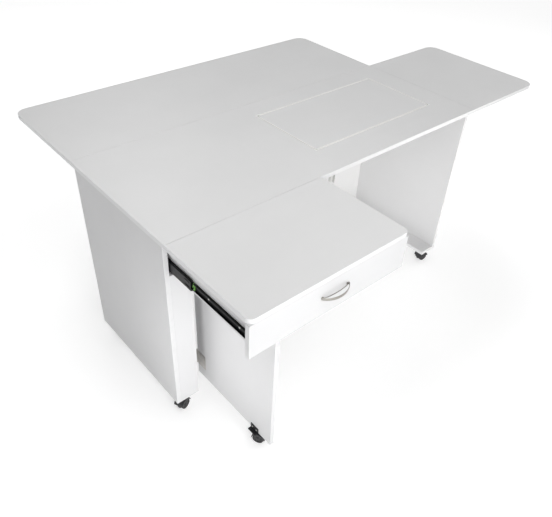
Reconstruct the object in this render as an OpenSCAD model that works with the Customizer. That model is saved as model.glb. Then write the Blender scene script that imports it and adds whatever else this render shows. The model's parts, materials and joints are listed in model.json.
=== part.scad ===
// Sewing table on castors: a fixed main top with a lift-out insert over the machine well,
// a drop leaf behind it, fold-over leaves at the right and above the drawer, a drawer that
// slides out to carry the front leaf, and a support leg that swings out under the drawer.
// Millimetres. X runs left to right, Y runs front to back, Z runs up from the floor.

/* [Tops] */
// Height of the work surface above the floor
table_h = 760; // [750:1:780]
// Length of the fixed main top
top_len = 1446; // [1420:1:1500]
// Depth of the fixed main top
top_depth = 565; // [560:1:600]
// Thickness of every laminated board
board_t = 16; // [15:0.5:17]
// Gap at each seam between two tops
seam = 1; // [0.8:0.1:2]
// Depth of the drop leaf behind the main top
rear_leaf_depth = 458; // [400:1:480]
// Length of the fold-over leaf at the right
right_leaf_len = 450; // [400:1:480]
// Length of the fold-over leaf above the drawer
front_leaf_len = 593; // [590:1:620]
// Depth of the fold-over leaf above the drawer
front_leaf_depth = 369; // [360:1:370]
// Radius of the rear and right leaves' outer corners
leaf_corner_r = 45; // [20:1:60]
// Radius of the front leaf's outer corners
front_corner_r = 20; // [10:1:40]

/* [Machine opening] */
// Length of the opening for the sewing machine
opening_len = 630; // [600:1:640]
// Depth of the opening
opening_depth = 330; // [320:1:340]
// Distance from the main top's left edge to the opening
opening_x = 703; // [700:1:720]
// Distance from the main top's front edge to the opening
opening_y = 137; // [130:1:140]
// Radius of the opening's corners
opening_r = 8; // [4:1:12]
// Gap all round the insert
insert_gap = 2.5; // [1.5:0.5:4]
// Radius of the insert's corners
insert_r = 18; // [12:1:24]
// Height of the lift platform's upper face when it is up
platform_z = 656; // [640:1:660]

/* [Carcase] */
// Height of the panels' lower edges above the floor
panel_z = 50; // [50:1:50]
// Set-back of the side panels from the ends of the main top
panel_inset = 2; // [0:0.5:4]
// Set-back of the panels' front edges from the main top's front edge
panel_front = 18; // [17:1:24]
// Depth of the side panels
panel_depth = 523; // [515:1:523]
// Set-back of the back panel's front face from the main top's front edge
back_y = 515; // [510:1:515]
// Width of the stile at the left front
stile_w = 74; // [60:1:90]
// Width of the foot boards
foot_w = 74; // [68:1:80]

/* [Drawer] */
// Width of the drawer front
drawer_front_w = 590; // [588:1:592]
// Height of the drawer front
drawer_front_h = 116; // [112:1:116]
// Height of the drawer's sides
drawer_side_h = 106; // [96:1:110]
// Length of the drawer box
drawer_len = 454; // [450:1:460]
// Thickness of the drawer bottom
drawer_bottom_t = 4; // [3:0.5:5]
// How far the drawer stands out at rest
drawer_out = 370; // [360:1:370]
// How far the slides' middle members stand out at rest
middle_out = 108; // [90:1:120]
// Length of each member of the ball-bearing slides
slide_len = 450; // [440:1:450]
// Height of the slide's outer member
slide_h = 45; // [45:1:45]
// Space that a slide fills between a panel and the drawer
slide_w = 13; // [13:1:13]

/* [Handle] */
// Distance between the handle's two feet
handle_span = 96; // [96:1:96]
// How far the handle stands out from the drawer front
handle_reach = 28; // [24:1:32]
// Thickness of the handle's bar
handle_bar_r = 4; // [3:0.5:5]

/* [Support leg] */
// Distance from the main top's left edge to the leg's left face
leg_x = 145; // [145:1:145]
// Length of the leg panel, front to back
leg_len = 404; // [380:1:404]
// Distance from the main top's front edge back to the leg's pivot
leg_pivot_y = 98; // [98:1:110]

/* [Castors] */
// Diameter of the castor wheels
wheel_d = 40; // [40:1:40]
// Trail of the axle behind the swivel axis
castor_trail = 14; // [12:1:16]

/* [Hidden] */
$fn = 48;

// Colours
top_col = [0.85, 0.85, 0.86];
board_col = [0.93, 0.93, 0.93];
slide_col = [0.09, 0.09, 0.10];
steel_col = [0.72, 0.72, 0.72];
nickel_col = [0.66, 0.64, 0.60];
castor_col = [0.16, 0.16, 0.17];
lever_col = [0.30, 0.62, 0.30];
bottom_col = [0.90, 0.89, 0.86];

// Small amounts: the margin of a cut, the play of a running pin, the gap between moving parts
cut = 1;
pin_play = 0.06;
part_gap = 0.3;

// The object's origin is under the middle of its plan
total_len = top_len + seam + right_leaf_len;
y_low = -seam - front_leaf_depth - handle_reach;
y_high = top_depth + seam + rear_leaf_depth;
x_left = -total_len / 2;
y_front = -(y_low + y_high) / 2;

// Heights
under_z = table_h - board_t;

// Side panels, divider and stile
left_in = panel_inset + board_t;
right_out = top_len - panel_inset;
right_in = right_out - board_t;
panel_back = panel_front + panel_depth;
divider_out = drawer_front_w;
divider_in = divider_out - board_t;
partition_top = 620;
partition_gap = 2;

// Drawer, at rest in its pulled-out place
front_face_y = -seam - front_leaf_depth;
front_back_y = front_face_y + board_t;
drawer_front_top = under_z - 0.6;
drawer_front_z = drawer_front_top - drawer_front_h;
drawer_left = left_in + slide_w;
drawer_right = divider_in - slide_w;
drawer_side_z = 630;
stile_top = drawer_side_z - 2;
drawer_back_y = front_back_y + drawer_len;
groove_depth = 6;
groove_z = drawer_side_z + 8;
batten_w = 26;
batten_z = drawer_front_z - 1;

// Ball-bearing slides: nested channels, outer on the carcase, inner on the drawer
slide_z = 661;
slide_t = 1.3;
slide_outer_y = panel_front + 2;
slide_middle_y = slide_outer_y - middle_out;
slide_inner_y = slide_outer_y - drawer_out;
middle_h = 35;
inner_h = 25.6;
lever_y = -116;
lever_len = 25;

// Support leg and its two hinges
leg_z = 50;
leg_top = drawer_front_z - 2;
leg_back_y = leg_pivot_y - 4;
hinge_pin_r = 1.5;
knuckle_r = 3;
plate_t = 1.5;
plate_clear = knuckle_r + 1;
leg_hinge_h = 66;
leg_hinge_w = 52;
leg_hinge_zs = [131, 540];
leg_pin_x = leg_x - 0.8;

// Rear leaf hinges and braces
rear_hinge_len = 76;
rear_hinge_w = 28;
rear_hinge_xs = [150, 723, 1296];
rear_pin_y = top_depth + seam / 2;
rear_pin_z = under_z - knuckle_r - 0.2;
brace_xs = [330, 1116];
brace_reach = 170;
brace_pin_z = under_z - 13;
brace_foot_y = 543;
brace_run = rear_pin_y + brace_reach - brace_foot_y;
brace_len = brace_run * sqrt(2);
brace_w = 16;
brace_t = 8;
brace_pin_r = 3;
ear_t = 2;
ear_gap = 0.4;
channel_w = 18;
channel_d = 22;
channel_t = 2;
channel_low = 270;
channel_high = 562;
back_rear_y = back_y + board_t;

// Fold-over leaf hinges: barrels let into the boards' edges
barrel_r = 6;
barrel_len = 22;
barrel_play = 0.05;
front_barrel_xs = [110, 483];
right_barrel_ys = [110, 455];

// Support arms under the right leaf
arm_w = 24;
arm_h = 22;
arm_len = 700;
arm_x = 1096;
arm_z = under_z - 0.6 - arm_h;
front_arm_y = 60;
rear_arm_y = 478;
guide_xs = [1130, 1370];
guide_len = 30;
guide_wall = 3.6;

// Machine lift
platform_margin = 10;
track_xs = [820, 1216];
track_w = 30;
track_d = 15;
track_t = 2;
track_low = 250;
track_high = 720;
carriage_low = 570;
carriage_high = platform_z - board_t;
bracket_t = 3;
ledge_w = 20;
ledge_t = 2;

// Castors: plate, hood with stem, and a pair of wheels on one axle
plate_w = 38;
castor_plate_t = 3;
plate_z = panel_z - castor_plate_t;
stem_r = 4;
stem_play = 0.05;
axle_r = 3;
axle_z = wheel_d / 2;
wheel_w = 13;
web_half = 4;
wheel_in = web_half + 0.6;
hood_half = wheel_in + wheel_w + 1;
hood_r = wheel_d / 2 + 4.5;
hood_t = 2.5;
hood_low = 7;
castor_in = 27;
left_castor_x = left_in + castor_in;
right_castor_x = right_in - castor_in;
front_castor_y = 40;
rear_castor_y = 492;
leg_castor_x = leg_x + 4;
leg_castor_y = -232;
castor_turns = [20, 350, 190, 215, 120];

// A box from its low corner to its high corner
module block(low, high) {
    translate(low) cube(high - low);
}

// Moves a piece from the table's own corner to the object's origin
module placed() {
    translate([x_left, y_front, 0]) children();
}

// The waste left outside an arc in one corner
module corner_waste(r) {
    difference() {
        translate([-cut, -cut]) square(r + cut);
        translate([r, r]) circle(r);
    }
}

// A rectangle with a radius at each corner: front left, front right, rear right, rear left
module rounded_outline(size, radii) {
    difference() {
        square(size);
        if (radii[0] > 0) corner_waste(radii[0]);
        if (radii[1] > 0) translate([size[0], 0]) mirror([1, 0]) corner_waste(radii[1]);
        if (radii[2] > 0) translate(size) rotate(180) corner_waste(radii[2]);
        if (radii[3] > 0) translate([0, size[1]]) mirror([0, 1]) corner_waste(radii[3]);
    }
}

// A flat board at top height
module top_board(low, size, radii) {
    translate([low[0], low[1], under_z]) linear_extrude(board_t) rounded_outline(size, radii);
}

// Holes for the barrel hinges along a board edge, opening towards -Y
module barrel_holes(xs, y, r, length) {
    for (x = xs) {
        translate([x, y, under_z + board_t / 2]) rotate([-90, 0, 0]) cylinder(r = r, h = length);
    }
}

// The same holes turned for an edge that opens towards +X
module end_barrel_holes(ys, x, r, length) {
    for (y = ys) {
        translate([x, y, under_z + board_t / 2]) rotate([0, 90, 0]) cylinder(r = r, h = length);
    }
}

module main_top() {
    color(top_col) placed() difference() {
        top_board([0, 0], [top_len, top_depth], [0, 0, 0, 0]);
        translate([opening_x, opening_y, under_z - cut])
            linear_extrude(board_t + 2 * cut)
                rounded_outline([opening_len, opening_depth], [opening_r, opening_r, opening_r, opening_r]);
        barrel_holes(front_barrel_xs, -cut, barrel_r, barrel_len + 1 + cut);
        end_barrel_holes(right_barrel_ys, top_len - barrel_len - 1, barrel_r, barrel_len + 1 + cut);
    }
}

module left_side_panel() {
    color(board_col) placed() block([panel_inset, panel_front, panel_z], [left_in, panel_back, under_z]);
}

// The right panel is notched at its top edge where the support arms pass
module right_side_panel() {
    color(board_col) placed() difference() {
        block([right_in, panel_front, panel_z], [right_out, panel_back, under_z]);
        for (y = [front_arm_y, rear_arm_y]) {
            block([right_in - cut, y - 1, arm_z - 1], [right_out + cut, y + arm_w + 1, under_z + cut]);
        }
    }
}

module back_panel() {
    color(board_col) placed() block([left_in, back_y, panel_z], [right_in, back_rear_y, under_z]);
}

module left_stile() {
    color(board_col) placed()
        block([left_in, panel_front, panel_z], [left_in + stile_w, panel_front + board_t, stile_top]);
}

module drawer_divider() {
    color(board_col) placed()
        block([divider_in, panel_front, drawer_front_z], [divider_out, back_y, under_z]);
}

// Upright board behind the stile that carries the leg's hinges
module leg_partition() {
    color(board_col) placed()
        block([leg_x - partition_gap - board_t, leg_pivot_y + plate_clear, panel_z],
              [leg_x - partition_gap, back_y, partition_top]);
}

module left_foot_board() {
    color(board_col) placed()
        block([left_in, panel_front + board_t, panel_z], [left_in + foot_w, back_y, panel_z + board_t]);
}

module right_foot_board() {
    color(board_col) placed()
        block([right_in - foot_w, panel_front, panel_z], [right_in, back_y, panel_z + board_t]);
}

// Steel strips under the ends of the opening, on which the insert rests
module insert_ledges() {
    color(steel_col) placed() {
        for (x = [opening_x, opening_x + opening_len]) {
            block([x - ledge_w / 2, opening_y + ledge_w, under_z - ledge_t],
                  [x + ledge_w / 2, opening_y + opening_depth - ledge_w, under_z]);
        }
    }
}

// A channel seen end-on, open towards +X, with its web against x = 0
module channel_outline(h, depth, t) {
    difference() {
        translate([0, -h / 2]) square([depth, h]);
        translate([t, t - h / 2]) square([depth, h - 2 * t]);
    }
}

// A slide member of one length, lying along Y with its web at x
module slide_member(x, y, h, depth) {
    translate([x, y + slide_len, slide_z]) rotate([90, 0, 0]) linear_extrude(slide_len)
        channel_outline(h, depth, slide_t);
}

// Repeats a left-hand piece of the drawer's running gear at the right
module both_sides() {
    children();
    translate([drawer_left + drawer_right, 0, 0]) mirror([1, 0, 0]) children();
}

module slide_outer_members() {
    color(slide_col) placed() both_sides()
        slide_member(left_in, slide_outer_y, slide_h, slide_w - 2.5);
}

module slide_middle_members() {
    color(slide_col) placed() both_sides()
        slide_member(left_in + 3, slide_middle_y, middle_h, slide_w - 4.4);
}

// The drawer's member faces the other way: its web lies on the drawer's side
module slide_inner_members() {
    color(slide_col) placed() both_sides()
        translate([drawer_left, slide_inner_y + slide_len, slide_z]) rotate([90, 0, 0])
            linear_extrude(slide_len) mirror([1, 0]) channel_outline(inner_h, slide_w - 6, slide_t);
}

// Small plastic lever inside the drawer's member that frees it from the middle one
module slide_release_levers() {
    color(lever_col) placed() both_sides()
        block([left_in + 7.2, lever_y, slide_z - 11],
              [drawer_left - slide_t - 0.2, lever_y + lever_len, slide_z + 11]);
}

// A castor part set on its swivel axis and turned to its heading
module castor_at(x, y, turn) {
    placed() translate([x, y, 0]) rotate(turn) children();
}

module plate_at(x, y) {
    translate([x, y, plate_z]) difference() {
        translate([-plate_w / 2, -plate_w / 2, 0]) cube([plate_w, plate_w, castor_plate_t]);
        translate([0, 0, -cut]) cylinder(r = stem_r + stem_play, h = castor_plate_t + 2 * cut);
    }
}

module castor_plates() {
    color(castor_col) placed() {
        for (x = [left_castor_x, right_castor_x]) {
            for (y = [front_castor_y, rear_castor_y]) {
                plate_at(x, y);
            }
        }
    }
}

// An upright web between the wheels, a half-round cover over them, and the stem
module castor_hood() {
    boss_z = axle_z + 18;
    color(castor_col) difference() {
        union() {
            intersection() {
                translate([-castor_trail, hood_half, axle_z]) rotate([90, 0, 0])
                    cylinder(r = hood_r, h = 2 * hood_half);
                translate([-castor_trail - hood_r, -hood_half, axle_z + 2])
                    cube([2 * hood_r, 2 * hood_half, hood_r]);
            }
            translate([-castor_trail, web_half, axle_z]) rotate([90, 0, 0])
                cylinder(r = hood_r - 1, h = 2 * web_half);
            translate([0, 0, boss_z]) cylinder(r = 9, h = plate_z - boss_z - 0.6);
            translate([0, 0, boss_z]) cylinder(r = stem_r, h = panel_z - boss_z - part_gap);
        }
        for (side = [0, 1]) {
            mirror([0, side, 0]) translate([-castor_trail, hood_half + cut, axle_z]) rotate([90, 0, 0])
                cylinder(r = hood_r - hood_t, h = hood_half + cut - web_half);
        }
        translate([-castor_trail, web_half + cut, axle_z]) rotate([90, 0, 0])
            cylinder(r = axle_r + pin_play, h = 2 * (web_half + cut));
        translate([-castor_trail - hood_r, -hood_half, hood_low - 2 * hood_r])
            cube(2 * hood_r);
    }
}

module castor_wheels() {
    wheel_r = wheel_d / 2;
    color(castor_col) translate([-castor_trail, 0, axle_z]) rotate([90, 0, 0]) {
        for (side = [0, 1]) {
            mirror([0, 0, side]) translate([0, 0, wheel_in]) rotate_extrude()
                polygon([[0, 0], [wheel_r - 1.5, 0], [wheel_r, 1.5], [wheel_r, wheel_w - 3],
                         [wheel_r - 3, wheel_w], [0, wheel_w]]);
        }
        translate([0, 0, -wheel_in - 1]) cylinder(r = axle_r, h = 2 * (wheel_in + 1));
    }
}

// Half of a butt hinge on a pin along Z: its plate runs along +Y at the given x offset
module hinge_half(length, width, plate_x, lows, highs, bore) {
    difference() {
        union() {
            block([plate_x, plate_clear, 0], [plate_x + plate_t, width, length]);
            for (i = [0 : len(lows) - 1]) {
                block([plate_x, 0, lows[i]], [plate_x + plate_t, plate_clear + 0.5, highs[i]]);
                translate([0, 0, lows[i]]) cylinder(r = knuckle_r, h = highs[i] - lows[i]);
            }
        }
        if (bore > 0) {
            translate([0, 0, -cut]) cylinder(r = bore, h = length + 2 * cut);
        }
    }
}

// The half with the outer knuckles and the pin
module hinge_fixed_half(length, width, plate_x) {
    third = length / 3;
    hinge_half(length, width, plate_x, [0, 2 * third], [third, length], 0);
    cylinder(r = hinge_pin_r, h = length);
}

// The half with the middle knuckle, which turns on the pin
module hinge_moving_half(length, width, plate_x) {
    third = length / 3;
    hinge_half(length, width, plate_x, [third + part_gap], [2 * third - part_gap],
               hinge_pin_r + pin_play);
}

module leg_hinge_fixed_plates() {
    color(nickel_col) placed() {
        for (z = leg_hinge_zs) {
            translate([leg_pin_x, leg_pivot_y, z - leg_hinge_h / 2])
                hinge_fixed_half(leg_hinge_h, leg_hinge_w, leg_x - partition_gap - leg_pin_x);
        }
    }
}

module leg_hinge_moving_plates() {
    color(nickel_col) placed() {
        for (z = leg_hinge_zs) {
            translate([leg_pin_x, leg_pivot_y, z - leg_hinge_h / 2]) mirror([0, 1, 0])
                hinge_moving_half(leg_hinge_h, leg_hinge_w, leg_x - plate_t - leg_pin_x);
        }
    }
}

// Turns a hinge half so that its pin runs along X and its plate lies under a board
module under_top(x) {
    translate([x - rear_hinge_len / 2, rear_pin_y, rear_pin_z]) rotate([0, 90, 0]) children();
}

module rear_hinge_fixed_plates() {
    color(steel_col) placed() {
        for (x = rear_hinge_xs) {
            under_top(x) mirror([0, 1, 0])
                hinge_fixed_half(rear_hinge_len, rear_hinge_w, rear_pin_z - under_z);
        }
    }
}

module rear_hinge_moving_plates() {
    color(steel_col) placed() {
        for (x = rear_hinge_xs) {
            under_top(x) hinge_moving_half(rear_hinge_len, rear_hinge_w, rear_pin_z - under_z);
        }
    }
}

module rear_leaf() {
    color(top_col) placed()
        top_board([0, top_depth + seam], [top_len, rear_leaf_depth], [0, 0, leaf_corner_r, leaf_corner_r]);
}

module right_leaf() {
    color(top_col) placed() difference() {
        top_board([top_len + seam, 0], [right_leaf_len, top_depth], [0, leaf_corner_r, leaf_corner_r, 0]);
        end_barrel_holes(right_barrel_ys, top_len + seam - cut, barrel_r, barrel_len + 1 + cut);
    }
}

module front_leaf() {
    color(top_col) placed() difference() {
        top_board([0, -seam - front_leaf_depth], [front_leaf_len, front_leaf_depth],
                  [front_corner_r, front_corner_r, 0, 0]);
        barrel_holes(front_barrel_xs, -seam - barrel_len - 1, barrel_r, barrel_len + 1 + cut);
    }
}

module fold_hinge_fixed_barrels() {
    color(steel_col) placed() {
        barrel_holes(front_barrel_xs, 0, barrel_r - barrel_play, barrel_len);
        end_barrel_holes(right_barrel_ys, top_len - barrel_len, barrel_r - barrel_play, barrel_len);
    }
}

module front_hinge_moving_barrels() {
    color(steel_col) placed()
        barrel_holes(front_barrel_xs, -seam - barrel_len, barrel_r - barrel_play, barrel_len);
}

module right_hinge_moving_barrels() {
    color(steel_col) placed()
        end_barrel_holes(right_barrel_ys, top_len + seam, barrel_r - barrel_play, barrel_len);
}

// Upright channels behind the back panel that take the lower ends of the braces
module brace_channels() {
    color(steel_col) placed() {
        for (x = brace_xs) {
            difference() {
                block([x - channel_w / 2, back_rear_y, channel_low],
                      [x + channel_w / 2, back_rear_y + channel_d, channel_high]);
                block([x - channel_w / 2 + channel_t, back_rear_y + channel_t, channel_low - cut],
                      [x + channel_w / 2 - channel_t, back_rear_y + channel_d + cut, channel_high + cut]);
            }
        }
    }
}

// A flat bar with round ends from the leaf's bracket down to the channel, at 45 degrees
module rear_braces() {
    color(steel_col) placed() {
        for (x = brace_xs) {
            translate([x - brace_t / 2, rear_pin_y + brace_reach, brace_pin_z])
                rotate([-45, 0, 0]) difference() {
                    union() {
                        block([0, -brace_w / 2, -brace_len], [brace_t, brace_w / 2, 0]);
                        for (z = [0, -brace_len]) {
                            translate([0, 0, z]) rotate([0, 90, 0])
                                cylinder(r = brace_w / 2, h = brace_t);
                        }
                    }
                    translate([-cut, 0, 0]) rotate([0, 90, 0])
                        cylinder(r = brace_pin_r + pin_play, h = brace_t + 2 * cut);
                }
        }
    }
}

// Brackets under the rear leaf: a base plate, two ears and the pin that a brace turns on
module brace_brackets() {
    ear_in = brace_t / 2 + ear_gap;
    ear_out = ear_in + ear_t;
    ear_half = brace_w / 2;
    color(steel_col) placed() {
        for (x = brace_xs) {
            translate([x, rear_pin_y + brace_reach, brace_pin_z]) {
                for (side = [-ear_out, ear_in]) {
                    block([side, -ear_half, 0], [side + ear_t, ear_half, under_z - brace_pin_z - plate_t]);
                    translate([side, 0, 0]) rotate([0, 90, 0]) cylinder(r = ear_half, h = ear_t);
                }
                block([-ear_out, -25, under_z - brace_pin_z - plate_t], [ear_out, 25, under_z - brace_pin_z]);
                translate([-ear_out, 0, 0]) rotate([0, 90, 0])
                    cylinder(r = brace_pin_r, h = 2 * ear_out);
            }
        }
    }
}

module support_arm(y) {
    placed() block([arm_x, y, arm_z], [arm_x + arm_len, y + arm_w, arm_z + arm_h]);
}

module front_support_arm() {
    color(board_col) support_arm(front_arm_y);
}

module rear_support_arm() {
    color(board_col) support_arm(rear_arm_y);
}

// U-shaped guides screwed under the main top, two for each arm
module arm_guides() {
    low_z = arm_z - part_gap - guide_wall;
    color(bottom_col) placed() {
        for (y = [front_arm_y, rear_arm_y]) {
            for (x = guide_xs) {
                difference() {
                    block([x, y - part_gap - guide_wall, low_z],
                          [x + guide_len, y + arm_w + part_gap + guide_wall, under_z]);
                    block([x - cut, y - part_gap, arm_z - part_gap],
                          [x + guide_len + cut, y + arm_w + part_gap, under_z + cut]);
                }
            }
        }
    }
}

// The lift-out board that closes the machine opening
module insert_board() {
    color(top_col) placed()
        translate([opening_x + insert_gap, opening_y + insert_gap, under_z + part_gap])
            linear_extrude(board_t - part_gap)
                rounded_outline([opening_len - 2 * insert_gap, opening_depth - 2 * insert_gap],
                                [insert_r, insert_r, insert_r, insert_r]);
}

// Upright channels on the back panel, open towards the front, in which the lift runs
module lift_tracks() {
    color(steel_col) placed() {
        for (x = track_xs) {
            difference() {
                block([x - track_w / 2, back_y - track_d, track_low], [x + track_w / 2, back_y, track_high]);
                block([x - track_w / 2 + track_t, back_y - track_d - cut, track_low - cut],
                      [x + track_w / 2 - track_t, back_y - track_t, track_high + cut]);
            }
        }
    }
}

module lift_carriages() {
    half = track_w / 2 - track_t - part_gap;
    color(castor_col) placed() {
        for (x = track_xs) {
            block([x - half, back_y - track_d - 4, carriage_low],
                  [x + half, back_y - track_t - part_gap, carriage_high]);
        }
    }
}

// Gussets that carry the platform on the carriages
module platform_brackets() {
    front_y = opening_y + 40;
    back = back_y - track_d - 4;
    color(steel_col) placed() {
        for (x = track_xs) {
            translate([x - bracket_t / 2, 0, 0]) rotate([90, 0, 90]) linear_extrude(bracket_t)
                polygon([[front_y, carriage_high], [front_y, carriage_high - 12],
                         [back, carriage_low], [back, carriage_high]]);
        }
    }
}

module lift_platform() {
    color(board_col) placed()
        block([opening_x + platform_margin, opening_y + platform_margin, platform_z - board_t],
              [opening_x + opening_len - platform_margin, opening_y + opening_depth - platform_margin,
               platform_z]);
}

module drawer_front() {
    color(board_col) placed()
        block([0, front_face_y, drawer_front_z],
              [divider_out, front_back_y, drawer_front_top]);
}

// A drawer side with the groove that holds the bottom
module drawer_side() {
    difference() {
        block([drawer_left, front_back_y, drawer_side_z],
              [drawer_left + board_t, drawer_back_y, drawer_side_z + drawer_side_h]);
        block([drawer_left + board_t - groove_depth, front_back_y - cut, groove_z],
              [drawer_left + board_t + cut, drawer_back_y + cut, groove_z + drawer_bottom_t]);
    }
}

module drawer_left_side() {
    color(board_col) placed() drawer_side();
}

module drawer_right_side() {
    color(board_col) placed()
        translate([drawer_left + drawer_right, 0, 0]) mirror([1, 0, 0]) drawer_side();
}

module drawer_back() {
    color(board_col) placed()
        block([drawer_left + board_t, drawer_back_y - board_t, groove_z + drawer_bottom_t],
              [drawer_right - board_t, drawer_back_y, drawer_side_z + drawer_side_h]);
}

module drawer_bottom() {
    side = board_t - groove_depth;
    color(bottom_col) placed()
        block([drawer_left + side, front_back_y, groove_z],
              [drawer_right - side, drawer_back_y, groove_z + drawer_bottom_t]);
}

// Batten under the drawer bottom that rests on the swung-out leg
module leg_rest_batten() {
    color(board_col) placed()
        block([leg_x - 5, front_back_y, batten_z], [leg_x - 5 + batten_w, drawer_back_y, groove_z]);
}

// A bow handle: an arc of round bar between two feet
module drawer_handle() {
    sag = handle_reach - 8 - handle_bar_r;
    r = (handle_span * handle_span / 4 + sag * sag) / (2 * sag);
    half_angle = asin(handle_span / 2 / r);
    handle_x = divider_out - drawer_front_w / 2;
    handle_z = drawer_front_z + 68;
    color(nickel_col) placed() translate([handle_x, front_face_y - 8, handle_z]) {
        translate([0, r - sag, 0]) rotate([0, 0, 270 - half_angle])
            rotate_extrude(angle = 2 * half_angle) translate([r, 0]) circle(handle_bar_r);
        for (side = [-1, 1]) {
            translate([side * handle_span / 2, 8, 0]) rotate([90, 0, 0])
                cylinder(r = handle_bar_r + 1, h = 10);
        }
    }
}

module leg_panel() {
    color(board_col) placed()
        block([leg_x, leg_back_y - leg_len, leg_z], [leg_x + board_t, leg_back_y, leg_top]);
}

// Angle bracket on the leg's left face whose foot runs under the leg and holds the castor
module leg_castor_bracket() {
    bracket_h = 20;
    half = plate_w / 2;
    color(castor_col) placed() {
        plate_at(leg_castor_x, leg_castor_y);
        block([leg_castor_x - half, leg_castor_y - half, plate_z],
              [leg_x - part_gap / 3, leg_castor_y + half, panel_z]);
        block([leg_x - 2.5, leg_castor_y - half, plate_z], [leg_x, leg_castor_y + half, panel_z + bracket_h]);
    }
}

module front_left_castor_hood() {
    castor_at(left_castor_x, front_castor_y, castor_turns[0]) castor_hood();
}

module front_left_castor_wheels() {
    castor_at(left_castor_x, front_castor_y, castor_turns[0]) castor_wheels();
}

module front_right_castor_hood() {
    castor_at(right_castor_x, front_castor_y, castor_turns[1]) castor_hood();
}

module front_right_castor_wheels() {
    castor_at(right_castor_x, front_castor_y, castor_turns[1]) castor_wheels();
}

module rear_left_castor_hood() {
    castor_at(left_castor_x, rear_castor_y, castor_turns[2]) castor_hood();
}

module rear_left_castor_wheels() {
    castor_at(left_castor_x, rear_castor_y, castor_turns[2]) castor_wheels();
}

module rear_right_castor_hood() {
    castor_at(right_castor_x, rear_castor_y, castor_turns[3]) castor_hood();
}

module rear_right_castor_wheels() {
    castor_at(right_castor_x, rear_castor_y, castor_turns[3]) castor_wheels();
}

module leg_castor_hood() {
    castor_at(leg_castor_x, leg_castor_y, castor_turns[4]) castor_hood();
}

module leg_castor_wheels() {
    castor_at(leg_castor_x, leg_castor_y, castor_turns[4]) castor_wheels();
}

main_top();
left_side_panel();
right_side_panel();
back_panel();
left_stile();
drawer_divider();
leg_partition();
left_foot_board();
right_foot_board();
insert_ledges();
slide_outer_members();
castor_plates();
leg_hinge_fixed_plates();
rear_hinge_fixed_plates();
fold_hinge_fixed_barrels();
brace_channels();
arm_guides();
lift_tracks();
front_leaf();
front_hinge_moving_barrels();
right_leaf();
right_hinge_moving_barrels();
rear_leaf();
rear_hinge_moving_plates();
brace_brackets();
rear_braces();
front_support_arm();
rear_support_arm();
insert_board();
lift_platform();
platform_brackets();
lift_carriages();
drawer_front();
drawer_left_side();
drawer_right_side();
drawer_back();
drawer_bottom();
leg_rest_batten();
slide_inner_members();
drawer_handle();
slide_release_levers();
slide_middle_members();
leg_panel();
leg_hinge_moving_plates();
leg_castor_bracket();
front_left_castor_hood();
front_left_castor_wheels();
front_right_castor_hood();
front_right_castor_wheels();
rear_left_castor_hood();
rear_left_castor_wheels();
rear_right_castor_hood();
rear_right_castor_wheels();
leg_castor_hood();
leg_castor_wheels();
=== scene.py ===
"""Looks for a laminated sewing table: materials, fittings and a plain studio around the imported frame."""

import json
import math
import random

import bmesh
import bpy
from mathutils import Matrix, Vector


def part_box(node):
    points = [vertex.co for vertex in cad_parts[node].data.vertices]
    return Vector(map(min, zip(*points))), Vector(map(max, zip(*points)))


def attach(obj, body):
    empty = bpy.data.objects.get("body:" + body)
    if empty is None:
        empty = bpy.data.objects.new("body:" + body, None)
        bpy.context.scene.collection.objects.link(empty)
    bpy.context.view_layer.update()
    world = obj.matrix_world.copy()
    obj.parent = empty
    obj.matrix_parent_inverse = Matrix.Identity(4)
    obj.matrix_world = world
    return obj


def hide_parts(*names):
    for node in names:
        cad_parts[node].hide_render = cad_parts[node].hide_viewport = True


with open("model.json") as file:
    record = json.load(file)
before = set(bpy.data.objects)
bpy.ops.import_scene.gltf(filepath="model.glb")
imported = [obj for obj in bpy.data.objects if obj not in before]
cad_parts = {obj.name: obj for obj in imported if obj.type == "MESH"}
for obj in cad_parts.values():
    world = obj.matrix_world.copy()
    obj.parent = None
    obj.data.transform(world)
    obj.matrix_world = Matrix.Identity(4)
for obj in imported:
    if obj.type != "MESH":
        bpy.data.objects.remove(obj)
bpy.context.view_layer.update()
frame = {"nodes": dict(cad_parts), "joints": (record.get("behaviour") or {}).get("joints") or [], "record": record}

MM = 0.001
rng = random.Random(7)
joints = {j["name"]: j for j in frame["joints"]}
slot_of = {s["node"]: s["material_slot"] for s in frame["record"]["subparts"]}

# Camera: where it stands from the object's origin, and how it is aimed
CAMERA_PLACE = Vector((-1.577, -1.447, 1.756))
CAMERA_TURN = 42.6
CAMERA_TILT = 39.0
CAMERA_ROLL = 3.0
CAMERA_LENS = 38.67
SENSOR = 36.0


# ---------------------------------------------------------------- material tools


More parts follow.
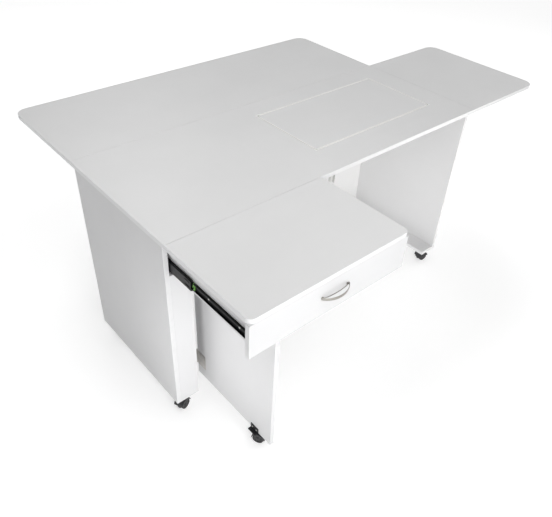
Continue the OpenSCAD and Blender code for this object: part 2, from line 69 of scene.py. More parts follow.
class Shade:
    """A new material and short calls that add nodes to it."""

    def __init__(self, name):
        self.material = bpy.data.materials.new(name)
        self.material.use_nodes = True
        self.tree = self.material.node_tree
        self.shader = self.tree.nodes["Principled BSDF"]
        self.coords = self.node("ShaderNodeTexCoord")
        self.place = self.coords.outputs["Object"]

    def node(self, kind, inputs=None, **props):
        made = self.tree.nodes.new(kind)
        for key, value in props.items():
            setattr(made, key, value)
        for key, value in (inputs or {}).items():
            self.put(made.inputs[key], value)
        return made

    def put(self, socket, value):
        """Links an output to a socket, or sets the socket's own value."""
        if isinstance(value, bpy.types.NodeSocket):
            self.tree.links.new(value, socket)
        else:
            socket.default_value = value

    def set(self, **inputs):
        for key, value in inputs.items():
            self.put(self.shader.inputs[key.replace("_", " ")], value)

    def math(self, operation, a, b=0.0):
        return self.node("ShaderNodeMath", {0: a, 1: b}, operation=operation).outputs[0]

    def vector(self, operation, a, b=(0, 0, 0), out=0):
        return self.node("ShaderNodeVectorMath", {0: a, 1: b}, operation=operation).outputs[out]

    def own(self, name):
        """A vector that each object holds as its own property."""
        made = self.node("ShaderNodeAttribute", attribute_type="OBJECT", attribute_name=name)
        return made.outputs["Vector"]

    def split(self, vector):
        """The three numbers of a vector."""
        return self.node("ShaderNodeSeparateXYZ", {0: vector}).outputs

    def stretch(self, scale):
        return self.node("ShaderNodeMapping", {"Vector": self.place, "Scale": scale}).outputs[0]

    def noise(self, scale, detail=2.0, roughness=0.5, where=None):
        """Noise with about `scale` blobs a metre, from 0 to 1."""
        where = where or self.place
        inputs = {"Vector": where, "Scale": scale, "Detail": detail, "Roughness": roughness}
        return self.node("ShaderNodeTexNoise", inputs).outputs[0]

    def ramp(self, value, low, high, out_low=0.0, out_high=1.0):
        """A smooth step from out_low to out_high while the value goes from low to high."""
        inputs = {"Value": value, "From Min": low, "From Max": high, "To Min": out_low, "To Max": out_high}
        return self.node("ShaderNodeMapRange", inputs, interpolation_type="SMOOTHSTEP").outputs[0]

    def mix(self, factor, a, b):
        made = self.node("ShaderNodeMix", data_type="RGBA")
        for index, value in ((0, factor), (6, a), (7, b)):
            if not isinstance(value, bpy.types.NodeSocket) and index > 0:
                value = (*value, 1.0)
            self.put(made.inputs[index], value)
        return made.outputs[2]

    def bump(self, height, depth, strength=1.0, under=None):
        """Adds relief of the given depth in metres over an optional earlier relief."""
        inputs = {"Height": height, "Distance": depth, "Strength": strength}
        if under:
            inputs["Normal"] = under
        return self.node("ShaderNodeBump", inputs).outputs[0]


def shade_of(colour, factor):
    return tuple(c * factor for c in colour)


def lifted(colour, factor):
    """A worn, lighter tone of a colour."""
    return tuple(min(1.0, c * factor + 0.03) for c in colour)


# Half the width of the line where a board's face meets its edge band
JOINT_LINE = 0.14 * MM
# Width of the white band that shows round the machine opening: partly its edge band, partly a painted highlight
# standing in for the lit wall of the opening
OPENING_BAND_AND_HIGHLIGHT = 2.4 * MM


def band_mask(s):
    """Where a board's edge band and its joint line show, and how far a point is from the board's edge."""
    middle, half, thin, rounded = (s.own("board_" + key) for key in ("middle", "half", "thin", "round"))
    rim = s.split(s.own("board_rim"))[0]
    offset = s.vector("SUBTRACT", s.place, middle)
    # The corner radius counts only on the side that the rounded direction points to
    reach = s.vector("LENGTH", rounded, out=1)
    toward = s.math("GREATER_THAN", s.vector("DOT_PRODUCT", offset, rounded, out=1), 0.0)
    radius = s.math("MULTIPLY", reach, toward)
    corner = s.node("ShaderNodeCombineXYZ", {0: radius, 1: radius, 2: radius}).outputs[0]
    gap = s.vector("ADD", s.vector("SUBTRACT", s.vector("ABSOLUTE", offset), half), corner)
    # A metre less across the thickness keeps the two faces out of the distance
    gap = s.vector("SUBTRACT", gap, thin)
    parts = s.split(gap)
    widest = s.math("MAXIMUM", s.math("MAXIMUM", parts[0], parts[1]), parts[2])
    inner = s.math("MINIMUM", widest, 0.0)
    outer = s.vector("LENGTH", s.vector("MAXIMUM", gap, (0, 0, 0)), out=1)
    inset = s.math("SUBTRACT", radius, s.math("ADD", inner, outer))

    # A surface that looks away from the thin axis belongs to the edge
    facing = s.math("ABSOLUTE", s.vector("DOT_PRODUCT", s.coords.outputs["Normal"], thin, out=1))
    on_edge = s.math("LESS_THAN", facing, 0.6)
    band = s.math("MAXIMUM", on_edge, s.math("LESS_THAN", inset, rim))
    line = s.math("LESS_THAN", s.math("ABSOLUTE", s.math("SUBTRACT", inset, rim)), JOINT_LINE)
    line = s.math("MULTIPLY", line, s.math("SUBTRACT", 1.0, on_edge))
    return band, line, inset


def opening_band_and_highlight_mask(s):
    """Where the band round the machine opening shows on the main top: partly its edge band, partly a painted
    highlight for the opening's lit wall.
    """
    hole_half = s.own("hole_half")
    beside = s.vector("ABSOLUTE", s.vector("SUBTRACT", s.place, s.own("hole_middle")))
    sides = s.split(s.vector("SUBTRACT", beside, hole_half))
    near = s.math("LESS_THAN", s.math("MAXIMUM", sides[0], sides[1]), OPENING_BAND_AND_HIGHLIGHT)
    has_hole = s.math("GREATER_THAN", s.vector("LENGTH", hole_half, out=1), 0.0)
    return s.math("MULTIPLY", near, has_hole)


def laminate(name, colour, band_colour, roughness):
    """Melamine-faced board: pearl grain, faint mottling, an edge band with its joint line, wear, and on the main
    top a white band round the opening that is partly painted highlight.
    """
    s = Shade(name)
    band, line, inset = band_mask(s)
    mottle = s.ramp(s.noise(5.0, 5.0, 0.6), 0.3, 0.7)
    fleck = s.ramp(s.noise(900.0, 1.0), 0.35, 0.65)
    tone = s.mix(mottle, shade_of(colour, 0.978), colour)
    tone = s.mix(s.math("MULTIPLY", fleck, 0.35), tone, shade_of(colour, 0.965))
    tone = s.mix(band, tone, band_colour)
    # Near-white round the opening: partly the edge band, partly a painted highlight of the opening's lit wall
    tone = s.mix(opening_band_and_highlight_mask(s), tone, (0.95, 0.95, 0.94))
    tone = s.mix(s.math("MULTIPLY", line, 0.35), tone, shade_of(colour, 0.5))
    near_edge = s.ramp(inset, 0.0, 9 * MM, 1.0, 0.0)
    rubbed = s.math("MULTIPLY", near_edge, s.ramp(s.noise(38.0, 4.0, 0.65), 0.48, 0.72))
    tone = s.mix(s.math("MULTIPLY", rubbed, 0.10), tone, shade_of(colour, 0.72))

    smear = s.ramp(s.noise(7.0, 6.0, 0.62, s.stretch((1.0, 2.2, 1.6))), 0.42, 0.68)
    scratch = s.ramp(s.noise(1.0, 3.0, 0.7, s.stretch((26.0, 900.0, 26.0))), 0.66, 0.7)
    gloss = s.math("ADD", roughness, s.math("MULTIPLY", smear, 0.07))
    gloss = s.math("ADD", gloss, s.math("MULTIPLY", scratch, 0.05))
    gloss = s.math("SUBTRACT", gloss, s.math("MULTIPLY", band, 0.06))

    pearl = s.bump(s.noise(1500.0, 2.0), 0.05 * MM, 0.55)
    pearl = s.bump(s.noise(240.0, 2.0), 0.05 * MM, 0.35, pearl)
    pearl = s.bump(s.math("SUBTRACT", 1.0, line), 0.1 * MM, 0.6, pearl)
    s.set(Base_Color=tone, Roughness=gloss, Normal=pearl, IOR=1.5, Specular_IOR_Level=0.4)
    return s.material


def sheet_steel(name, colour, roughness, metallic, grain, wear=0.3, shine=0.5):
    """Pressed steel: a drawn grain along one axis, cloudy plating, small pits and brighter rubbed spots.

    grain is the noise's scale on each axis, and the lines of the grain run along the smallest.
    """
    s = Shade(name)
    drawn = s.noise(1.0, 4.0, 0.6, s.stretch(grain))
    cloud = s.ramp(s.noise(60.0, 3.0), 0.35, 0.65)
    rubbed = s.ramp(s.noise(150.0, 5.0, 0.7), 0.55, 0.75)
    tone = s.mix(cloud, shade_of(colour, 0.86), colour)
    tone = s.mix(s.math("MULTIPLY", rubbed, wear), tone, lifted(colour, 1.5))
    gloss = s.math("ADD", roughness, s.math("MULTIPLY", drawn, 0.14))
    gloss = s.math("SUBTRACT", gloss, s.math("MULTIPLY", rubbed, 0.08))
    pits = s.bump(s.noise(1800.0, 2.0), 0.03 * MM, 0.5)
    s.set(Base_Color=tone, Roughness=gloss, Normal=s.bump(drawn, 0.04 * MM, 0.5, pits),
          Metallic=metallic, Specular_IOR_Level=shine)
    return s.material


def moulded(name, colour, roughness, texture=1100.0, depth=0.06):
    """Injection-moulded plastic: a spark-eroded skin with its depth in millimetres, dust and scuffs."""
    s = Shade(name)
    skin = s.node("ShaderNodeTexVoronoi", {"Vector": s.place, "Scale": texture}).outputs["Distance"]
    dust = s.ramp(s.noise(70.0, 5.0, 0.65), 0.5, 0.8)
    scuff = s.ramp(s.noise(1.0, 3.0, 0.6, s.stretch((420.0, 60.0, 420.0))), 0.62, 0.7)
    tone = s.mix(s.math("MULTIPLY", dust, 0.25), colour, tuple(c * 0.75 + 0.05 for c in colour))
    tone = s.mix(s.math("MULTIPLY", scuff, 0.25), tone, lifted(colour, 1.4))
    gloss = s.math("ADD", roughness, s.math("MULTIPLY", dust, 0.16))
    relief = s.bump(s.noise(texture * 0.25, 3.0), depth * MM, 0.4, s.bump(skin, depth * MM, 0.5))
    s.set(Base_Color=tone, Roughness=gloss, Normal=relief)
    return s.material


def tread_rubber(name, colour):
    """The castors' soft tread: dull, with road dust and fine cross lines."""
    s = Shade(name)
    dust = s.ramp(s.noise(130.0, 5.0, 0.7), 0.42, 0.72)
    tone = s.mix(s.math("MULTIPLY", dust, 0.4), colour, (0.16, 0.155, 0.15))
    gloss = s.math("ADD", 0.55, s.math("MULTIPLY", dust, 0.25))
    s.set(Base_Color=tone, Roughness=gloss, Normal=s.bump(s.noise(900.0, 3.0), 0.08 * MM, 0.6))
    return s.material


def satin_metal(name, colour, roughness, grain):
    """Brushed and lacquered nickel: hair lines along one axis under a thin clear coat."""
    s = Shade(name)
    hair = s.noise(1.0, 5.0, 0.65, s.stretch(grain))
    cloud = s.ramp(s.noise(90.0, 2.0), 0.3, 0.7)
    tone = s.mix(hair, shade_of(colour, 0.82), shade_of(colour, 1.12))
    tone = s.mix(s.math("MULTIPLY", cloud, 0.3), tone, shade_of(colour, 0.9))
    gloss = s.math("ADD", roughness, s.math("MULTIPLY", hair, 0.16))
    s.set(Base_Color=tone, Roughness=gloss, Normal=s.bump(hair, 0.03 * MM, 0.5),
          Metallic=1.0, Coat_Weight=0.15, Coat_Roughness=0.25)
    return s.material


TOP_WHITE = (0.77, 0.77, 0.77)
MATERIALS = {
    "top_laminate": laminate(
        "top_laminate_white", TOP_WHITE, band_colour=(0.80, 0.80, 0.805), roughness=0.36),
    # A darker copy of the top's white laminate: the lower tone paints in part of the shade on the side panels
    "panel_laminate": laminate(
        "panel_laminate_white_painted_shade", (0.72, 0.72, 0.726), band_colour=(0.74, 0.74, 0.746), roughness=0.42),
    "drawer_base": laminate(
        "drawer_base_white", (0.83, 0.82, 0.79), band_colour=(0.55, 0.42, 0.28), roughness=0.5),
    "slide_steel": sheet_steel(
        "slide_black_zinc", (0.009, 0.009, 0.010), roughness=0.30, metallic=0.0,
        grain=(900.0, 14.0, 900.0), wear=0.1, shine=0.2),
    "lever_plastic": moulded("lever_green", (0.15, 0.38, 0.07), roughness=0.34, texture=1600.0, depth=0.03),
    "black_steel": sheet_steel(
        "bracket_black", (0.022, 0.022, 0.024), roughness=0.42, metallic=0.35,
        grain=(500.0, 500.0, 40.0), wear=0.15),
    "castor_plastic": moulded("castor_hood_grey", (0.032, 0.032, 0.035), roughness=0.42),
    "castor_tread": tread_rubber("castor_tread_dark", (0.026, 0.026, 0.028)),
    "satin_nickel": satin_metal(
        "handle_nickel", (0.38, 0.365, 0.335), roughness=0.30, grain=(60.0, 900.0, 1200.0)),
    "hinge_steel": sheet_steel(
        "hinge_nickel", (0.58, 0.56, 0.53), roughness=0.26, metallic=1.0, grain=(700.0, 700.0, 25.0)),
    "grey_steel": sheet_steel(
        "grey_zinc", (0.50, 0.51, 0.52), roughness=0.34, metallic=0.9, grain=(600.0, 40.0, 40.0)),
    "guide_plastic": moulded("guide_white", (0.74, 0.74, 0.71), roughness=0.45, texture=800.0, depth=0.05),
}
# Two nodes whose finish differs from that of the rest of their slot. The insert's near-white band is partly its
# edge band and partly a painted highlight of its rounded edge.
OWN_FINISH = {
    "insert_board": laminate(
        "insert_laminate_band_highlight", TOP_WHITE, band_colour=(0.96, 0.95, 0.93), roughness=0.36),
    "lift_tracks": sheet_steel(
        "track_enamel_white", (0.66, 0.66, 0.65), roughness=0.36, metallic=0.0,
        grain=(600.0, 600.0, 40.0), wear=0.2),
}
SCREW_STEEL = sheet_steel(
    "screw_zinc", (0.62, 0.62, 0.60), roughness=0.22, metallic=1.0, grain=(500.0, 500.0, 500.0), wear=0.2)


# ---------------------------------------------------------------- CAD nodes


def soften(obj, width):
    """Joins split corners and rounds edges with modifiers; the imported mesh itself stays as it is."""
    weld = obj.modifiers.new("join", "WELD")
    weld.merge_threshold = 0.01 * MM
    bevel = obj.modifiers.new("edges", "BEVEL")
    bevel.width = width
    bevel.segments = 2
    bevel.limit_method = "ANGLE"
    bevel.angle_limit = math.radians(32)
    # Broad faces keep one flat shade, and the rounded edges blend into them
    weighted = obj.modifiers.new("shading", "WEIGHTED_NORMAL")
    weighted.weight = 100
    for face in obj.data.polygons:
        face.use_smooth = True


# Radii of the leaves' corners, along the direction of the side that has them
ROUNDED = {
    "rear_leaf": (0, 45 * MM, 0),
    "right_leaf": (45 * MM, 0, 0),
    "front_leaf": (0, -20 * MM, 0),
}
# How much of a board's edge band shows from above
RIM = 0.8 * MM
# The insert's wider rim is partly its edge band and partly a painted highlight along its rounded edge
INSERT_BAND_AND_HIGHLIGHT_RIM = 4.0 * MM
# Gap that the CAD leaves round the insert
INSERT_GAP = 2.5 * MM


def board_facts(obj, name):
    """Gives a board its middle, half size, thin axis, rounded side and opening for the laminate to read."""
    low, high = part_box(name)
    size = high - low
    thin = min(range(3), key=lambda axis: size[axis])
    obj["board_middle"] = list((low + high) / 2)
    obj["board_half"] = list(size / 2)
    obj["board_thin"] = [1.0 if axis == thin else 0.0 for axis in range(3)]
    obj["board_round"] = [float(part) for part in ROUNDED.get(name, (0, 0, 0))]
    obj["board_rim"] = [INSERT_BAND_AND_HIGHLIGHT_RIM if name == "insert_board" else RIM, 0.0, 0.0]
    hole_low, hole_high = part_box("insert_board")
    hole_half = (hole_high - hole_low) / 2 + Vector((1, 1, 0)) * INSERT_GAP
    obj["hole_middle"] = list((hole_low + hole_high) / 2)
    obj["hole_half"] = list(hole_half) if name == "main_top" else [0.0, 0.0, 0.0]


# Rounding of the edges in millimetres, by slot, and of the one board that is rounder than its slot
EDGE_ROUNDING = {
    "top_laminate": 0.9, "panel_laminate": 0.6, "drawer_base": 0.2, "slide_steel": 0.35, "black_steel": 0.5,
    "castor_plastic": 0.7, "hinge_steel": 0.35, "grey_steel": 0.4, "guide_plastic": 0.6,
}
OWN_ROUNDING = {"insert_board": 2.2}
BOARD_SLOTS = ("top_laminate", "panel_laminate", "drawer_base")

for node_name, node in frame["nodes"].items():
    slot_name = slot_of[node_name]
    node.data.materials.clear()
    node.data.materials.append(OWN_FINISH.get(node_name, MATERIALS[slot_name]))
    if slot_name in EDGE_ROUNDING:
        soften(node, OWN_ROUNDING.get(node_name, EDGE_ROUNDING[slot_name]) * MM)
    if slot_name in BOARD_SLOTS:
        board_facts(node, node_name)


# ---------------------------------------------------------------- mesh tools


def add_piece(name, bm, material, body, crease=35.0):
    """Turns a bmesh into a piece that rides on a body."""
    bmesh.ops.recalc_face_normals(bm, faces=bm.faces)
    mesh = bpy.data.meshes.new(name)
    bm.to_mesh(mesh)
    bm.free()
    mesh.materials.append(material)
    for face in mesh.polygons:
        face.use_smooth = True
    mesh.set_sharp_from_angle(angle=math.radians(crease))
    obj = bpy.data.objects.new(name, mesh)
    bpy.context.scene.collection.objects.link(obj)
    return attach(obj, body)


def frame_along(axis, about=None):
    """A rotation whose Z is the axis."""
    axis = Vector(axis).normalized()
    about = Vector(about) if about else (Vector((0, 0, 1)) if abs(axis.z) < 0.9 else Vector((0, 1, 0)))
    x = about.cross(axis).normalized()
    y = axis.cross(x)
    return Matrix((x, y, axis)).transposed().to_4x4()


def lathe(bm, profile, where, steps, ripple=None):
    """Spins a profile of (radius, height) about local Z; ripple(angle, index) shifts a ring's height."""
    rings = []
    for index, (radius, height) in enumerate(profile):
        if radius <= 0:
            rings.append([bm.verts.new(where @ Vector((0, 0, height)))])
            continue
        ring = []
        for step in range(steps):
            angle = 2 * math.pi * step / steps
            lift = ripple(angle, index) if ripple else 0.0
            point = Vector((radius * math.cos(angle), radius * math.sin(angle), height + lift))
            ring.append(bm.verts.new(where @ point))
        rings.append(ring)
    for ring, after in zip(rings, rings[1:]):
        for step in range(steps):
            a, b = ring[step % len(ring)], ring[(step + 1) % len(ring)]
            c, d = after[(step + 1) % len(after)], after[step % len(after)]
            corners = [v for i, v in enumerate((a, b, c, d)) if v not in (a, b, c, d)[:i]]
            if len(corners) > 2:
                bm.faces.new(corners)


def sweep(bm, path, sections):
    """Skins closed sections along a path and closes both ends. sections[i] is a list of points."""
    rings = [[bm.verts.new(place @ Vector(p)) for p in section] for place, section in zip(path, sections)]
    count = len(rings[0])
    for ring, after in zip(rings, rings[1:]):
        for step in range(count):
            turn = (step + 1) % count
            bm.faces.new((ring[step], ring[turn], after[turn], after[step]))
    bm.faces.new(rings[0][::-1])
    bm.faces.new(rings[-1])


def slab(bm, low, high, round_by):
    """A box with rounded edges, between two corners."""
    low, high = Vector(low), Vector(high)
    made = bmesh.ops.create_cube(bm, size=1.0)["verts"]
    for v in made:
        v.co = Vector([low[i] + (v.co[i] + 0.5) * (high[i] - low[i]) for i in range(3)])
    edges = {e for v in made for e in v.link_edges}
    bmesh.ops.bevel(bm, geom=list(edges), offset=round_by, segments=2, affect="EDGES", profile=0.7)


def screw_head(bm, place, outward, radius, lift, turn):
    """A pan head with a cross recess, standing on a surface. lift is its height in diameters."""
    where = Matrix.Translation(place) @ frame_along(outward) @ Matrix.Rotation(turn, 4, "Z")
    rings, steps = 9, 40
    # The cross: half the width, the length and the depth of an arm, in radii
    arm_half, arm_long, arm_deep = 0.14, 0.58, 0.42
    grid = []
    for ring in range(rings + 1):
        r = radius * ring / rings
        row = []
        for step in range(steps if ring else 1):
            angle = 2 * math.pi * step / steps
            x, y = r * math.cos(angle), r * math.sin(angle)
            height = radius * lift * 2 * math.sqrt(1 - (ring / rings) ** 4)
            arm, reach = min(abs(x), abs(y)) / radius, max(abs(x), abs(y)) / radius
            if arm < arm_half and reach < arm_long:
                height -= radius * arm_deep * (1 - reach)
            row.append(bm.verts.new(where @ Vector((x, y, height))))
        grid.append(row)
    for step in range(steps):
        bm.faces.new((grid[0][0], grid[1][step], grid[1][(step + 1) % steps]))
    for inner, outer in zip(grid[1:], grid[2:]):
        for step in range(steps):
            turn_to = (step + 1) % steps
            bm.faces.new((inner[step], outer[step], outer[turn_to], inner[turn_to]))
    bm.faces.new(grid[-1][::-1])


def screws(name, body, places, outward, radius, lift):
    """One piece of equal screws, each turned by chance. radius is in millimetres, lift in diameters."""
    bm = bmesh.new()
    for place in places:
        screw_head(bm, place, outward, radius * MM, lift, rng.uniform(0, math.pi))
    return add_piece(name, bm, SCREW_STEEL, body, crease=50.0)


# ---------------------------------------------------------------- handle


def handle():
    """A crescent bow: a flattened bar that swells to the middle, a slim bar behind it, and two round feet."""
    low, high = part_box("drawer_handle")
    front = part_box("drawer_front")[0].y
    foot_r = 5 * MM
    middle_x, middle_z = (low.x + high.x) / 2, (low.z + high.z) / 2
    half_span = (high.x - low.x) / 2 - foot_r
    # The bars' ends stand a little off the drawer's front
    stand_off = 2.2 * MM
    # The outer bar stays just inside the CAD handle's box
    outer_depth = front - low.y - 4.2 * MM
    stations, section_points = 44, 20
    bm = bmesh.new()

    def bow(depth, rise, wide, thick, taper, span):
        """Skins one curved bar over the feet, whose middle stands out by depth and up by rise.

        taper is the ends' width against the middle's, span the bar's length against the feet's distance.
        """
        path, sections = [], []
        for i in range(stations + 1):
            t = -1 + 2 * i / stations
            x = half_span * span * t
            y = front - depth * (1 - t * t) ** 0.75 - stand_off
            slope = 1.5 * depth * t / max((1 - t * t) ** 0.25, 0.25) / half_span
            place = Matrix.Translation((middle_x + x, y, middle_z + rise * (1 - t * t)))
            path.append(place @ Matrix.Rotation(math.atan(slope), 4, "Z"))
            swell = taper + (1 - taper) * (1 - t * t)
            half_w, half_t = wide / 2 * swell, thick / 2 * (0.7 + 0.3 * swell)
            sections.append([
                (0, half_t * math.cos(a), half_w * math.copysign(abs(math.sin(a)) ** 0.8, math.sin(a)))
                for a in (2 * math.pi * k / section_points for k in range(section_points))
            ])
        sweep(bm, path, sections)

    bow(outer_depth, rise=-0.5 * MM, wide=10.0 * MM, thick=2.2 * MM, taper=0.76, span=1.10)
    bow(7.0 * MM, rise=0.0, wide=2.8 * MM, thick=2.2 * MM, taper=0.9, span=1.04)
    foot_profile = [(0, 0), (3.8 * MM, 0), (3.8 * MM, 1.2 * MM), (3.0 * MM, 3.4 * MM), (0, 3.8 * MM)]
    for side in (-1, 1):
        foot = Matrix.Translation((middle_x + side * half_span, front, middle_z)) @ frame_along((0, -1, 0))
        lathe(bm, foot_profile, foot, steps=32)
    made = add_piece("handle_bow", bm, MATERIALS["satin_nickel"], "drawer", crease=60.0)
    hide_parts("drawer_handle")


handle()


# ---------------------------------------------------------------- castors


def castor(prefix):
    """Two lathed wheels with recessed, ribbed webs and hub caps, and the ball race above their hood."""
    spin = joints[prefix + "_wheel_spin"]
    axle, axis = Vector(spin["pos_m"]), Vector(spin["axis"])
    low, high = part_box(prefix + "_castor_wheels")
    radius = (high.z - low.z) / 2
    # From the middle to the inner side of each wheel, just clear of the hood's web
    wheel_in = 4.6 * MM
    # Fractions of the wheel's radius, and millimetres out from its inner side
    profile = [
        (0, 0.2), (0.17, 0.2), (0.36, 0.4), (0.42, 1.4), (0.76, 1.4), (0.82, 0.5), (0.93, 0.15), (0.985, 1.0),
        (1.0, 3.2), (1.0, 8.6), (0.985, 11.2), (0.94, 12.5), (0.86, 12.9), (0.81, 12.2), (0.78, 10.2),
        (0.60, 9.6), (0.42, 9.8), (0.36, 10.4), (0.34, 12.0), (0.30, 12.8), (0.16, 13.0), (0, 13.0),
    ]
    # The points of the profile that carry the ribs
    web_rings = (14, 15, 16)
    rib_count, rib_height = 6, 1.3 * MM
    axle_radius, axle_half = 2.9 * MM, wheel_in + MM

    def ribs(angle, index):
        return rib_height * max(0.0, math.cos(rib_count * angle)) ** 3 if index in web_rings else 0.0

    bm = bmesh.new()
    for side in (-1, 1):
        where = Matrix.Translation(axle + axis * side * wheel_in) @ frame_along(axis * side, (0, 0, 1))
        lathe(bm, [(r * radius, h * MM) for r, h in profile], where, steps=96, ripple=ribs)
    # The axle crosses the hood's web between the two wheels
    where = Matrix.Translation(axle) @ frame_along(axis, (0, 0, 1))
    lathe(bm, [(axle_radius, -axle_half), (axle_radius, axle_half)], where, steps=32)
    wheels = prefix + "_wheels"
    made = add_piece(wheels, bm, MATERIALS["castor_tread"], wheels, crease=28.0)
    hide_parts(prefix + "_castor_wheels")

    # Washer and ball race between the hood and the plate
    swivel = Vector(joints[prefix + "_castor_swivel"]["pos_m"])
    race_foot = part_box(prefix + "_castor_hood")[1].z - 5.6 * MM
    race = [(4.0, 0), (10.5, 0), (11.0, 0.5), (11.0, 1.4), (10.2, 2.2), (4.0, 2.2)]
    bm = bmesh.new()
    where = Matrix.Translation((swivel.x, swivel.y, race_foot)) @ frame_along((0, 0, 1))
    lathe(bm, [(r * MM, h * MM) for r, h in race], where, steps=40)
    add_piece(prefix + "_race", bm, MATERIALS["black_steel"], prefix + "_castor")


CASTORS = ("front_left", "front_right", "rear_left", "rear_right", "leg")
for castor_name in CASTORS:
    castor(castor_name)


# ---------------------------------------------------------------- drawer slides


def slide_fittings():
    """Ball cages, screw heads, stops and the shaped green levers of both slides."""
    outer_low, outer_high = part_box("slide_outer_members")
    mid_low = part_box("slide_middle_members")[0]
    in_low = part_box("slide_inner_members")[0]
    lever_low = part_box("slide_release_levers")[0]
    centre_x = (outer_low.x + outer_high.x) / 2
    centre_z = (outer_low.z + outer_high.z) / 2

    def each_side(x):
        """A place on the left slide and its mirror image on the right one, each with the side's sign."""
        return ((x, 1), (2 * centre_x - x, -1))

    # Ball cages between the middle and inner members
    bm = bmesh.new()
    half_wide, half_thick, cage_long = 1.6 * MM, 0.35 * MM, 150 * MM
    ball_row, ball_radius = 14.4 * MM, 1.35 * MM
    balls, first_ball, ball_pitch = 14, 6, 10.4
    for x, _ in each_side(mid_low.x + 4.2 * MM):
        for level in (-1, 1):
            z = centre_z + level * ball_row
            low = (x - half_wide, mid_low.y + MM, z - half_thick)
            high = (x + half_wide, mid_low.y + cage_long, z + half_thick)
            slab(bm, low, high, round_by=0.2 * MM)
            for k in range(balls):
                ball = Matrix.Translation((x, mid_low.y + (first_ball + ball_pitch * k) * MM, z))
                bmesh.ops.create_icosphere(bm, subdivisions=2, radius=ball_radius, matrix=ball)
    add_piece("slide_ball_cages", bm, SCREW_STEEL, "slide_middles", crease=40.0)

    # Screws through the members' walls: the inner ones into the drawer, the outer ones into the cabinet
    wall = 1.3 * MM
    side_names = {1: "left", -1: "right"}
    for x, side in each_side(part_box("drawer_left_side")[0].x - wall):
        places = [(x, in_low.y + offset * MM, centre_z) for offset in (56, 190, 330, 420)]
        outward = (-side, 0, 0)
        screws("drawer_slide_screws_" + side_names[side], "drawer", places, outward, radius=3.6, lift=0.16)
    for x, side in each_side(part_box("left_side_panel")[1].x + wall):
        places = [(x, outer_low.y + offset * MM, centre_z) for offset in (24, 150, 300, 420)]
        outward = (side, 0, 0)
        screws("panel_slide_screws_" + side_names[side], "cabinet", places, outward, radius=3.2, lift=0.15)

    # Pressed end stops on the middle members
    bm = bmesh.new()
    for x, side in each_side(mid_low.x - 0.9 * MM):
        for level in (-1, 1):
            z = centre_z + level * 9 * MM
            near, far = sorted((x - side * 0.5 * MM, x + side * 1.2 * MM))
            low, high = (near, mid_low.y + 8 * MM, z - 2 * MM), (far, mid_low.y + 30 * MM, z + 2 * MM)
            slab(bm, low, high, round_by=0.4 * MM)
    add_piece("slide_middle_lances", bm, MATERIALS["slide_steel"], "slide_middles")

    # Green levers: an upright hooked blade on a round boss, just ahead of the middle member
    bm = bmesh.new()
    length, height = 12 * MM, 28 * MM
    lever_y = mid_low.y - MM - length
    lever_z = centre_z - height / 2
    # Fractions of the blade's length and height
    blade = [(0.30, 0.0), (0.60, 0.03), (0.70, 0.30), (0.96, 0.42), (1.0, 0.55), (0.74, 0.62), (0.66, 0.96),
             (0.40, 1.0), (0.24, 0.72), (0.10, 0.52), (0.22, 0.28)]
    thick = 3.9 * MM
    boss_profile = [(0, 0), (3.4 * MM, 0), (3.8 * MM, 0.5 * MM), (3.8 * MM, thick - 0.3 * MM), (0, thick)]
    for x, side in each_side(lever_low.x):
        here = min(x, x + side * thick)
        path = [Matrix.Translation((here, 0, 0)), Matrix.Translation((here + thick, 0, 0))]
        outline = [(0, lever_y + length * u, lever_z + height * v) for u, v in blade]
        sweep(bm, path, [outline, outline])
        boss = Matrix.Translation((here, lever_y + length / 2, centre_z - 2 * MM))
        lathe(bm, boss_profile, boss @ frame_along((1, 0, 0)), steps=24)
    levers = add_piece("slide_levers", bm, MATERIALS["lever_plastic"], "drawer")
    rounding = levers.modifiers.new("edges", "BEVEL")
    rounding.width = 0.35 * MM
    rounding.segments = 2
    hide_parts("slide_release_levers")


slide_fittings()


# ---------------------------------------------------------------- screws


def hinge_screws():
    """Four screws on every leg hinge plate and three on every rear hinge plate."""
    low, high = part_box("leg_hinge_moving_plates")
    pin = Vector(joints["leg_swing"]["pos_m"])
    panel_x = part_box("leg_panel")[0].x
    partition_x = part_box("leg_partition")[1].x
    # The plates' thickness, and how tall the leg's and how long the rear leaf's are
    plate, tall, long = 1.5 * MM, 66 * MM, 76 * MM
    for name, body, x, outward, toward in (
        ("leg_hinge_screws", "leg", panel_x - plate, (-1, 0, 0), -1),
        ("partition_hinge_screws", "cabinet", partition_x + plate, (1, 0, 0), 1),
    ):
        places = []
        for middle in (low.z + tall / 2, high.z - tall / 2):
            for across in (16, 40):
                for level in (-20, 20):
                    places.append((x, pin.y + toward * across * MM, middle + level * MM))
        screws(name, body, places, outward, radius=3.4, lift=0.14)
    low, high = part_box("rear_hinge_moving_plates")
    pin = Vector(joints["rear_leaf_drop"]["pos_m"])
    middles = (low.x + long / 2, (low.x + high.x) / 2, high.x - long / 2)
    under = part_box("main_top")[0].z - plate
    for name, body, toward in (
        ("rear_leaf_hinge_screws", "rear_leaf", 1),
        ("main_top_hinge_screws", "cabinet", -1),
    ):
        y = pin.y + toward * 18 * MM
        places = [(x + across * MM, y, under) for x in middles for across in (-26, 0, 26)]
        screws(name, body, places, (0, 0, -1), radius=3.0, lift=0.14)


hinge_screws()


def castor_plate_screws():
    """Four screws up through every castor's plate."""
    from_swivel = 14.5 * MM
    corners = [(a * from_swivel, b * from_swivel) for a in (-1, 1) for b in (-1, 1)]
    for prefix in CASTORS:
        swivel = Vector(joints[prefix + "_castor_swivel"]["pos_m"])
        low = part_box("castor_plates")[0].z
        places = [(swivel.x + across, swivel.y + along, low) for across, along in corners]
        body = "leg" if prefix == "leg" else "cabinet"
        screws(prefix + "_plate_screws", body, places, (0, 0, -1), radius=2.6, lift=0.12)


castor_plate_screws()


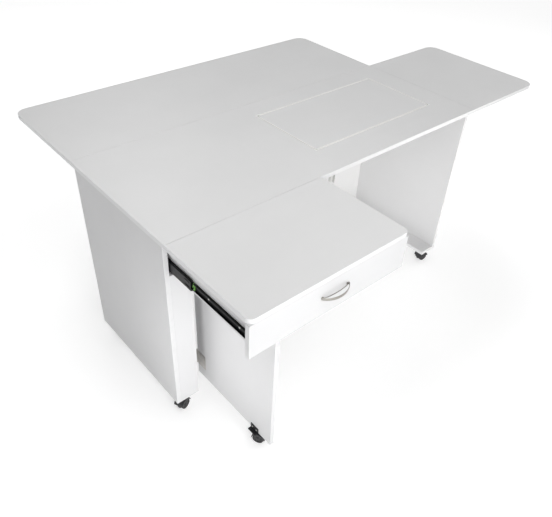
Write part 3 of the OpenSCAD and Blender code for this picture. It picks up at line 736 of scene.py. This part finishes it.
def bracket_screws():
    """Two screws through the upright wing of the leg's castor bracket."""
    low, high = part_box("leg_castor_bracket")
    wing = 2.5 * MM
    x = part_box("leg_panel")[0].x - wing
    middle = (low.y + high.y) / 2
    places = [(x, middle + offset * MM, high.z - 11 * MM) for offset in (-10, 10)]
    screws("leg_bracket_screws", "leg", places, (-1, 0, 0), radius=3.2, lift=0.2)


bracket_screws()


# ---------------------------------------------------------------- studio


def aim(obj, place, target):
    """Puts an object at a place, with its -Z towards the target."""
    toward = (Vector(target) - Vector(place)).to_track_quat("-Z", "Y")
    obj.matrix_world = Matrix.Translation(place) @ toward.to_matrix().to_4x4()


def area_light(name, place, target, size, power, spread=180, colour=(1, 1, 1)):
    """A square light. size is in metres, power in watts and spread in degrees."""
    light = bpy.data.lights.new(name, "AREA")
    light.spread = math.radians(spread)
    light.shape = "SQUARE"
    light.size = size
    light.energy = power
    light.color = colour
    obj = bpy.data.objects.new(name, light)
    bpy.context.scene.collection.objects.link(obj)
    aim(obj, place, target)


def surround():
    """A white world that the camera sees and that lights nothing."""
    world = bpy.data.worlds.new("surround")
    bpy.context.scene.world = world
    world.use_nodes = True
    tree = world.node_tree
    background = tree.nodes["Background"]
    background.inputs["Color"].default_value = (0.97, 0.98, 1.0, 1)
    rays = tree.nodes.new("ShaderNodeLightPath")
    level = tree.nodes.new("ShaderNodeMapRange")
    level.inputs["To Min"].default_value = 0.0
    level.inputs["To Max"].default_value = 1.0
    tree.links.new(rays.outputs["Is Camera Ray"], level.inputs["Value"])
    tree.links.new(level.outputs[0], background.inputs["Strength"])


def lights():
    """Five large soft lights, and three small ones with a honeycomb."""
    area_light("front_softbox", (-1.5, -2.6, 1.25), (-0.6, 0.0, 0.5), size=1.8, power=33)
    area_light("overhead_softbox", (-0.9, -2.0, 3.0), (-0.4, -0.6, 0.7), size=1.8, power=23)
    area_light("top_softbox", (0.0, 0.0, 5.5), (0.0, 0.0, 0.0), size=6.0, power=44)
    area_light("back_softbox", (0.0, 2.6, 3.5), (0.0, 0.1, 0.5), size=2.6, power=65)
    area_light("right_softbox", (3.0, -0.6, 2.6), (0.0, 0.0, 0.5), size=2.2, power=47)
    # For the leg, the right panel and the front leaf
    area_light("leg_fill", (-1.75, -1.0, 0.3), (-0.8, -0.42, 0.32), size=0.5, power=0.45, spread=40)
    area_light("under_fill", (-0.15, -2.4, 0.35), (0.44, 0.0, 0.38), size=0.5, power=0.90, spread=30,
               colour=(1.0, 0.985, 0.94))
    area_light("leaf_fill", (-0.3, -1.8, 2.4), (-0.45, -0.2, 0.76), size=0.8, power=1.0, spread=50)


def studio_floor():
    """A pale floor that glows, a painted light that also lights the table; the glow is weaker near the table, a
    painted shade round it.
    """
    shade = Shade("floor_pale")
    cloud = shade.noise(2.0, 3.0)
    tone = shade.mix(cloud, (0.58, 0.58, 0.58), (0.62, 0.62, 0.62))
    away = shade.vector("LENGTH", shade.place, out=1)
    # Painted light and shade: the floor's glow rises away from the table
    painted_glow = shade.ramp(away, 0.75, 1.2, 0.50, 0.63)
    painted_glow = shade.math("ADD", painted_glow, shade.ramp(away, 1.4, 2.6, 0.0, 0.17))
    painted_glow = shade.math("ADD", painted_glow, shade.ramp(away, 3.0, 8.0, 0.0, 0.18))
    shade.set(Base_Color=tone, Roughness=0.8, Emission_Color=(1, 1, 1, 1), Emission_Strength=painted_glow)
    half = 14.0
    corners = [(-half, -half, 0), (half, -half, 0), (half, half, 0), (-half, half, 0)]
    mesh = bpy.data.meshes.new("floor")
    mesh.from_pydata(corners, [], [(0, 1, 2, 3)])
    mesh.materials.append(shade.material)
    floor = bpy.data.objects.new("floor", mesh)
    bpy.context.scene.collection.objects.link(floor)


def camera():
    """The camera, from its place, turn, tilt and roll."""
    turn, tilt, roll = (math.radians(a) for a in (CAMERA_TURN, CAMERA_TILT, CAMERA_ROLL))
    ahead = Vector((math.sin(turn) * math.cos(tilt), math.cos(turn) * math.cos(tilt), -math.sin(tilt)))
    level = Vector((math.cos(turn), -math.sin(turn), 0))
    upright = level.cross(ahead)
    right = level * math.cos(roll) + upright * math.sin(roll)
    up = upright * math.cos(roll) - level * math.sin(roll)
    data = bpy.data.cameras.new("camera")
    data.sensor_width = SENSOR
    data.lens = CAMERA_LENS
    data.clip_end = 100
    obj = bpy.data.objects.new("camera", data)
    bpy.context.scene.collection.objects.link(obj)
    obj.matrix_world = Matrix.Translation(CAMERA_PLACE) @ Matrix((right, up, -ahead)).transposed().to_4x4()
    bpy.context.scene.camera = obj


surround()
lights()
studio_floor()
camera()
bpy.context.scene.view_settings.view_transform = "Standard"
